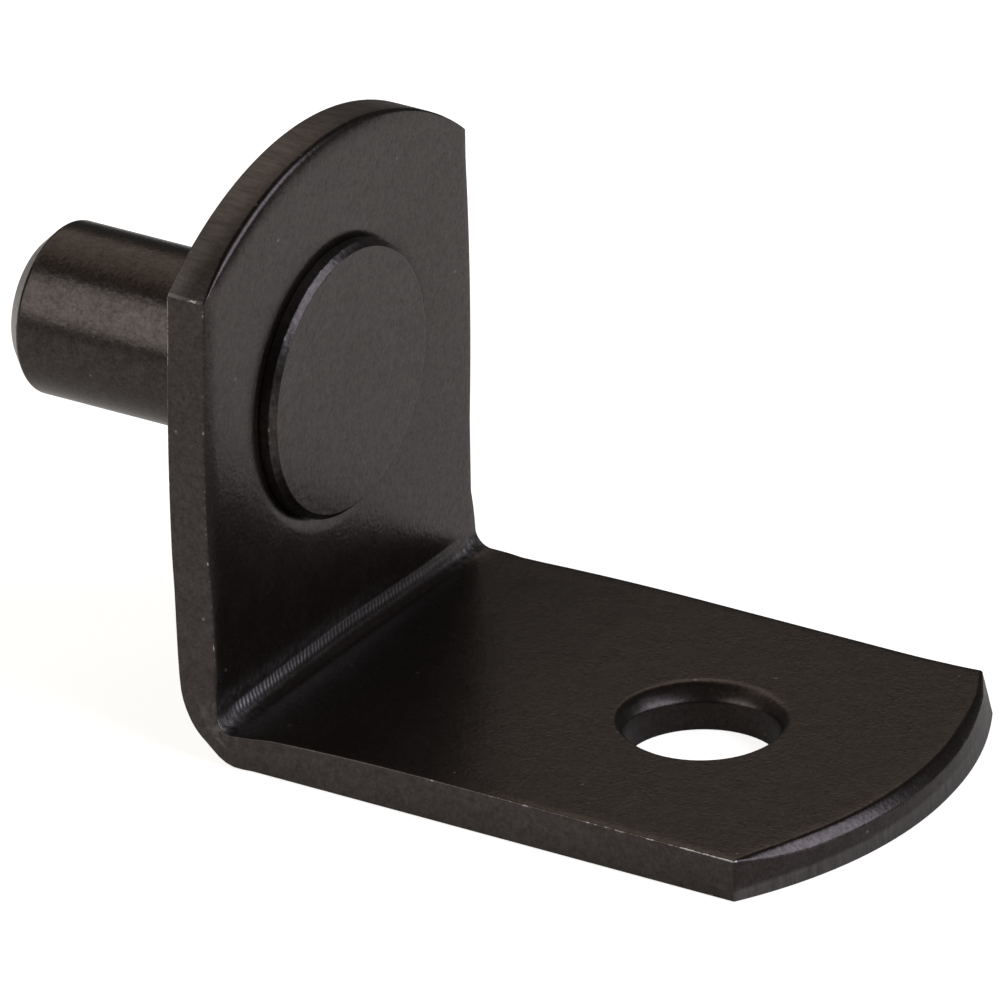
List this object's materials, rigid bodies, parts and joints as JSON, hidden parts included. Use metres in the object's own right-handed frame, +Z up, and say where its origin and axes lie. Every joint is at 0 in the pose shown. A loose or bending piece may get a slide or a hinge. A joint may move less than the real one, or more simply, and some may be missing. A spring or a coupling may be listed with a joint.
{
  "type": "shelf support pin",
  "caption": "Angled shelf support: a steel strip bent to a right angle, with a headed pin through its leaf for a cabinet side hole and a screw hole in its arm.",
  "frame": {"origin": "on the axis of the pin, in the plane of the leaf's outer face, which lies against the cabinet side", "axes": "+X away from the cabinet side, along the arm under the shelf; +Y across the strip; +Z up, along the leaf; the pin points to -X"},
  "size_m": [0.0284, 0.0138, 0.0165],
  "materials": {
    "coated_strip": "satin black finish on stamped steel",
    "coated_pin": "satin black finish on headed steel"
  },
  "bodies": {
    "root": {"bracket": "coated_strip", "headed_pin": "coated_pin"}
  },
  "joints": []
}
